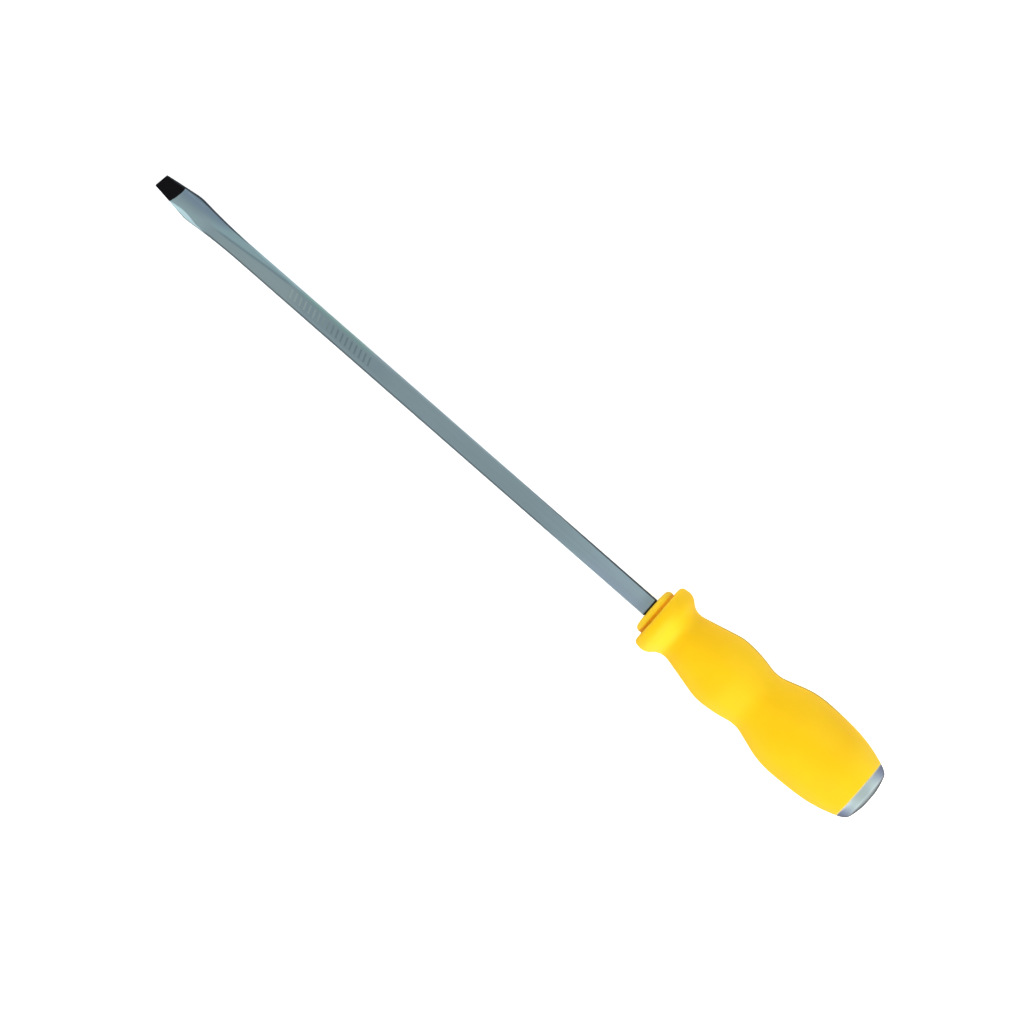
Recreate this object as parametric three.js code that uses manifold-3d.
// A long through-bar flat screwdriver: one forged steel bar runs from the wedge tip, through a
// two-shot yellow handle, to a steel strike cap at the butt.
//
// Row frame, in millimetres: the origin is the centre of the tip's end face, +X runs along the
// tool towards the strike cap, and +Z is square to the wide faces of the wedge.
// The handle's own frame starts at its nose, so x = 0 there is x = exposedBlade in the row.

import * as THREE from 'three';
import { mergeVertices } from 'three/addons/utils/BufferGeometryUtils.js';
import Module from 'manifold-3d';

const wasm = await Module();
wasm.setup();

// ---- driving dimensions -------------------------------------------------------------------

const exposedBlade = 300;
const gap = 0.3;

// Bar and wedge. A half is measured from the tool's axis to one side. Each outline is a row of
// straight stretches, and ease is how far the rounding of a corner reaches to either side.
const barHalf = 4.75;
const widthOutline = [
  { x: 0, half: 3.6, ease: 0 },
  { x: 19.7, half: 6.37, ease: 2.4 },
  { x: 37, half: barHalf, ease: 15 },
];
const thicknessOutline = [
  { x: 0, half: 0.8, ease: 0 },
  { x: 11, half: 1.3, ease: 5 },
  { x: 48, half: barHalf, ease: 10 },
];
// Width of the facet along each edge, seen from above. Its face leans by facetLean.
const facetOutline = [
  { x: 0, half: 0.1, ease: 0 },
  { x: 8, half: 0.1, ease: 1.5 },
  { x: 19, half: 2.9, ease: 4 },
  { x: 26, half: 0.6, ease: 3 },
];
const facetLean = THREE.MathUtils.degToRad(35);
const wedgeEnd = 60;
const wedgeStep = 3;
// The tip's end face is ground askew, by this angle, with its +Y corner nearer the handle.
const tipSkew = THREE.MathUtils.degToRad(9);

// Tang, in the handle's frame. It is a little smaller than the bar.
const tangHalf = 4.5;
const tangChamfer = 0.5;
const anchorNotches = [{ x: 36, length: 6 }, { x: 86, length: 6 }];
const notchDepth = 1.2;
const tangShoulder = 124.5;
const spigot = { r: 4, length: 5.5 };

// Grip outline stations, in the handle's frame. At each one the outline runs parallel to the
// axis, and bendBefore and bendAfter are the radii of the arcs on either side of it.
const flangeFace = 4.25;
const flangeCorner = { x: 6.6, r: 14.65, bend: 2.35 };
const flange = { x: 8.6, r: 17.25, bendAfter: 6.9 };
const neck = { x: 19.3, r: 12.65, bendBefore: 7.7, bendAfter: 12.6 };
const frontSwell = { x: 44.3, r: 17.75, bendBefore: 21.9, bendAfter: 65 };
const waist = { x: 64, r: 15.4, bendBefore: 18.6, bendAfter: 16.5 };
const rearSwell = { x: 91, r: 21, bendBefore: 45, bendAfter: 204 };
const rearRound = { x: 107.6, bend: 70 };
const gripEnd = 127.2;

// Handle core.
const nose = { flatR: 5.5, faceR: 9.3, dome: 0.35, edge: 2.4, x: 2.75, r: 9.25, rootR: 11.9, depth: 8.2 };
const gripWall = 3.4;
const keyRib = { count: 6, height: 1.2, width: 3, start: 26, end: 110 };
const coreRear = { x: 117.5, r: 18.7 };
const coreSpigotR = 11;

// Strike cap.
const handleLength = 134;
const capSide = { x: 123.18, r: 3.46, bend: 13 };
const capDomeBend = 38;
const strikeFlatR = 4.5;
const capEdgeX = 131.96;
const skirtWall = 2;

// Each arc of an outline becomes twice this many chords, and each turned solid has roundSides.
const outlineSteps = 2;
const innerSteps = 1;
const roundSides = 36;

// ---- solids -------------------------------------------------------------------------------

// Turns a closed three.js geometry into a manifold solid, dropping the empty triangles that a
// lathe leaves on its axis.
function solidOf(geometry) {
  const bare = geometry.clone();
  bare.deleteAttribute('normal');
  bare.deleteAttribute('uv');
  const merged = mergeVertices(bare);
  const corners = merged.index.array;
  const triangles = [];
  for (let i = 0; i < corners.length; i += 3) {
    const [a, b, c] = corners.slice(i, i + 3);
    if (a !== b && b !== c && c !== a) {
      triangles.push(a, b, c);
    }
  }
  const mesh = new wasm.Mesh({
    numProp: 3,
    vertProperties: new Float32Array(merged.attributes.position.array),
    triVerts: new Uint32Array(triangles),
  });
  return new wasm.Manifold(mesh);
}

function geometryOf(solid) {
  const mesh = solid.getMesh();
  const geometry = new THREE.BufferGeometry();
  geometry.setAttribute('position', new THREE.BufferAttribute(mesh.vertProperties, 3));
  geometry.setIndex(new THREE.BufferAttribute(mesh.triVerts, 1));
  geometry.computeVertexNormals();
  return geometry;
}

// Spins an outline drawn as (along the axis, radius) about the X axis. The outline starts and
// ends on the axis, with the solid on its right all the way.
function turned(path, steps) {
  const profile = path.getPoints(steps).map((p) => new THREE.Vector2(p.y, p.x));
  const geometry = new THREE.LatheGeometry(profile, roundSides);
  geometry.rotateZ(-Math.PI / 2);
  return solidOf(geometry);
}

function barAlongX(start, end, radius, sides) {
  const geometry = new THREE.CylinderGeometry(radius, radius, end - start, sides);
  geometry.rotateZ(Math.PI / 2);
  geometry.translate((start + end) / 2, 0, 0);
  return solidOf(geometry);
}

// Mirrors a half outline, drawn above the X axis, and extrudes it right through the bar. The
// slab is then turned about the X axis, so that one outline limits one direction across the bar.
function slab(upper, turn) {
  const lower = upper.map((p) => new THREE.Vector2(p.x, -p.y)).reverse();
  const reach = 4 * barHalf;
  const geometry = new THREE.ExtrudeGeometry(new THREE.Shape([...upper, ...lower]), {
    depth: reach,
    bevelEnabled: false,
  });
  geometry.translate(0, 0, -reach / 2);
  geometry.rotateX(turn);
  return solidOf(geometry);
}

// ---- blade --------------------------------------------------------------------------------

// Rises from 0 to u around u = 0, rounded over the given reach.
function softRamp(u, ease) {
  if (u <= -ease) {
    return 0;
  }
  return u >= ease ? u : (u + ease) ** 2 / (4 * ease);
}

// The height of an outline at x. After its last corner it runs level.
function heightAt(outline, x) {
  let height = outline[0].half;
  let slope = 0;
  for (let i = 0; i < outline.length; i += 1) {
    const corner = outline[i];
    const next = outline[i + 1] ?? { x: corner.x + 1, half: corner.half };
    const nextSlope = (next.half - corner.half) / (next.x - corner.x);
    height += (nextSlope - slope) * softRamp(x - corner.x, corner.ease);
    slope = nextSlope;
  }
  return height;
}

// How far out the facet along an edge lies, measured square to the facet.
function facetReach(x) {
  const innerEdge = heightAt(widthOutline, x) - heightAt(facetOutline, x);
  return innerEdge * Math.sin(facetLean) + heightAt(thicknessOutline, x) * Math.cos(facetLean);
}

// Everything on the handle's side of the tip's end face, which passes through the origin.
function tipCut() {
  const size = 4 * exposedBlade;
  const geometry = new THREE.BoxGeometry(size, size, size);
  geometry.translate(size / 2, 0, 0);
  geometry.rotateZ(-tipSkew);
  return solidOf(geometry);
}

// The forged and ground bar, as far as the handle's nose.
function barSolid() {
  const end = exposedBlade - gap;
  const stations = [-wedgeStep];
  for (let x = 0; x <= wedgeEnd; x += wedgeStep) {
    stations.push(x);
  }
  stations.push(end);
  const outline = (height) => stations.map((x) => new THREE.Vector2(x, height(x)));
  const quarter = Math.PI / 2;
  return slab(outline((x) => heightAt(widthOutline, x)), 0)
    .intersect(slab(outline((x) => heightAt(thicknessOutline, x)), quarter))
    .intersect(slab(outline(facetReach), quarter - facetLean))
    .intersect(slab(outline(facetReach), facetLean - quarter))
    .intersect(tipCut());
}

// The square tang with its anchor notches, between two stations in the handle's frame, grown
// outwards by the given amount.
function tangSolid(start, end, grow) {
  const half = tangHalf + grow;
  const edge = (2 * half - tangChamfer) / Math.SQRT2;
  const level = (height) => [new THREE.Vector2(start, height), new THREE.Vector2(end, height)];
  const notched = [new THREE.Vector2(start, half)];
  for (const notch of anchorNotches) {
    const notchStart = notch.x + grow;
    const notchEnd = notch.x + notch.length - grow;
    notched.push(new THREE.Vector2(notchStart, half));
    notched.push(new THREE.Vector2(notchStart, half - notchDepth));
    notched.push(new THREE.Vector2(notchEnd, half - notchDepth));
    notched.push(new THREE.Vector2(notchEnd, half));
  }
  notched.push(new THREE.Vector2(end, half));
  return slab(notched, 0)
    .intersect(slab(level(half), Math.PI / 2))
    .intersect(slab(level(edge), Math.PI / 4))
    .intersect(slab(level(edge), -Math.PI / 4));
}

// The whole blade: bar, tang and the round spigot that the strike cap sits on.
function bladeSolid() {
  const overlap = 1;
  const tang = tangSolid(-gap - overlap, tangShoulder, 0).translate([exposedBlade, 0, 0]);
  const shoulderX = exposedBlade + tangShoulder;
  const tail = barAlongX(shoulderX - overlap, shoulderX + spigot.length, spigot.r, 24);
  return barSolid().add(tang).add(tail);
}

// ---- handle -------------------------------------------------------------------------------

// Adds the S-shaped stretch between two stations: an arc, the tangent line and an arc.
function addSide(path, from, to) {
  const up = Math.sign(to.r - from.r);
  const bends = from.bendAfter + to.bendBefore;
  const length = to.x - from.x;
  const across = Math.abs(to.r - from.r) - bends;
  const slope = Math.atan2(across, length) + Math.asin(bends / Math.hypot(length, across));
  const startR = from.r + up * from.bendAfter;
  const endR = to.r - up * to.bendBefore;
  const quarter = Math.PI / 2;
  path.absarc(from.x, startR, from.bendAfter, -up * quarter, up * (slope - quarter), up < 0);
  path.absarc(to.x, endR, to.bendBefore, up * (quarter + slope), up * quarter, up > 0);
}

// Adds the swells and waist from the neck back, and the two easy arcs of the rear.
function addSwells(path) {
  addSide(path, neck, frontSwell);
  addSide(path, frontSwell, waist);
  addSide(path, waist, rearSwell);
  const tilt = Math.asin((rearRound.x - rearSwell.x) / rearSwell.bendAfter);
  const firstR = rearSwell.r - rearSwell.bendAfter;
  const secondX = rearRound.x - rearRound.bend * Math.sin(tilt);
  const secondR = firstR + (rearSwell.bendAfter - rearRound.bend) * Math.cos(tilt);
  const quarter = Math.PI / 2;
  const endTilt = Math.asin((gripEnd - secondX) / rearRound.bend);
  path.absarc(rearSwell.x, firstR, rearSwell.bendAfter, quarter, quarter - tilt, true);
  path.absarc(secondX, secondR, rearRound.bend, quarter - tilt, quarter - endTilt, true);
}

function gripOuter() {
  const path = new THREE.Path();
  path.moveTo(flangeFace, 0);
  path.lineTo(flangeFace, flangeCorner.r);
  path.absarc(flangeCorner.x, flangeCorner.r, flangeCorner.bend, Math.PI, Math.PI / 2, true);
  addSide(path, flange, neck);
  addSwells(path);
  path.lineTo(gripEnd, 0);
  return turned(path, outlineSteps);
}

// Adds the core's outline from the neck back: it follows the grip's stations in straight
// lines, inside the grip by the inset.
function addCoreBody(path, inset) {
  for (const station of [neck, frontSwell, waist, rearSwell, coreRear]) {
    path.lineTo(station.x, station.r - inset);
  }
}

// The core's body with its nose, grown outwards by the given amount.
function coreBody(grow) {
  const path = new THREE.Path();
  path.moveTo(0, 0);
  path.lineTo(0, nose.flatR);
  path.lineTo(nose.dome, nose.faceR);
  path.absarc(nose.x, nose.r, nose.edge, Math.PI, Math.PI / 2, true);
  path.lineTo(flangeFace, nose.rootR + grow);
  path.lineTo(nose.depth + grow, nose.rootR + grow);
  addCoreBody(path, gripWall - grow);
  if (grow > 0) {
    path.lineTo(coreRear.x + grow, coreRear.r - gripWall + grow);
    path.lineTo(coreRear.x + grow, 0);
  } else {
    path.lineTo(coreRear.x, coreSpigotR);
    path.lineTo(tangShoulder, coreSpigotR);
    path.lineTo(tangShoulder, 0);
  }
  return turned(path, innerSteps);
}

// Keying ribs along the core, which stop the grip from turning on it.
function keyRibs(grow) {
  const inset = gripWall - keyRib.height - grow;
  const path = new THREE.Path();
  path.moveTo(neck.x, 0);
  addCoreBody(path, inset);
  path.lineTo(coreRear.x, 0);
  const height = 2 * rearSwell.r;
  const length = keyRib.end - keyRib.start + 2 * grow;
  const width = keyRib.width + 2 * grow;
  let fins = null;
  for (let i = 0; i < keyRib.count / 2; i += 1) {
    const geometry = new THREE.BoxGeometry(length, height, width);
    geometry.translate((keyRib.start + keyRib.end) / 2, 0, 0);
    geometry.rotateX((2 * Math.PI * i) / keyRib.count);
    const fin = solidOf(geometry);
    fins = fins === null ? fin : fins.add(fin);
  }
  return turned(path, innerSteps).intersect(fins);
}

function coreSolid() {
  const overlap = 1;
  return coreBody(0).add(keyRibs(0)).subtract(tangSolid(-overlap, tangShoulder + overlap, gap));
}

function sleeveSolid() {
  const skirtR = coreSpigotR + gap + skirtWall;
  const skirtPocket = barAlongX(coreRear.x, gripEnd + 1, skirtR + gap, roundSides);
  const noseBore = barAlongX(flangeFace - 1, flangeFace + 1, nose.rootR + gap, roundSides);
  return gripOuter()
    .subtract(noseBore)
    .subtract(coreBody(gap))
    .subtract(keyRibs(gap))
    .subtract(skirtPocket);
}

// The cap's outer face is a curved side that meets a shallow dome, with a flat struck face. Its
// skirt is pressed over the core's spigot, and its socket takes the tang's spigot.
function capSolid() {
  const innerFace = tangShoulder + gap;
  const socketFloor = tangShoulder + spigot.length + gap;
  const skirtStart = coreRear.x + gap;
  const skirtInner = coreSpigotR + gap;
  const skirtOuter = skirtInner + skirtWall;
  const rimX = gripEnd + gap;
  const domeX = handleLength - Math.sqrt(capDomeBend ** 2 - strikeFlatR ** 2);
  const domeEnd = Math.asin(strikeFlatR / capDomeBend);
  const domeStart = Math.acos((capEdgeX - domeX) / capDomeBend);
  const sideStart = Math.acos((rimX - capSide.x) / capSide.bend);
  const sideEnd = Math.acos((capEdgeX - capSide.x) / capSide.bend);
  const path = new THREE.Path();
  path.moveTo(socketFloor, 0);
  path.lineTo(socketFloor, spigot.r + gap);
  path.lineTo(innerFace, spigot.r + gap);
  path.lineTo(innerFace, skirtInner);
  path.lineTo(skirtStart, skirtInner);
  path.lineTo(skirtStart, skirtOuter);
  path.lineTo(rimX, skirtOuter);
  path.absarc(capSide.x, capSide.r, capSide.bend, sideStart, sideEnd, true);
  path.absarc(domeX, 0, capDomeBend, domeStart, domeEnd, true);
  path.lineTo(handleLength, 0);
  return turned(path, outlineSteps);
}

// ---- scene --------------------------------------------------------------------------------

const barSteel = new THREE.MeshStandardMaterial({ color: 0x86979e, roughness: 0.38, metalness: 1 });
const coreYellow = new THREE.MeshStandardMaterial({ color: 0xf4bb1c, roughness: 0.45, metalness: 0 });
const gripYellow = new THREE.MeshStandardMaterial({ color: 0xfed01c, roughness: 0.5, metalness: 0 });
const capSteel = new THREE.MeshStandardMaterial({ color: 0xb6c2cb, roughness: 0.3, metalness: 1 });

function namedMesh(name, solid, material) {
  const mesh = new THREE.Mesh(geometryOf(solid), material);
  mesh.name = name;
  return mesh;
}

const handle = new THREE.Group();
handle.position.x = exposedBlade;
handle.add(namedMesh('handle_core', coreSolid(), coreYellow));
handle.add(namedMesh('grip_sleeve', sleeveSolid(), gripYellow));
handle.add(namedMesh('strike_cap', capSolid(), capSteel));

const screwdriver = new THREE.Group();
screwdriver.add(namedMesh('blade', bladeSolid(), barSteel));
screwdriver.add(handle);

export default screwdriver;
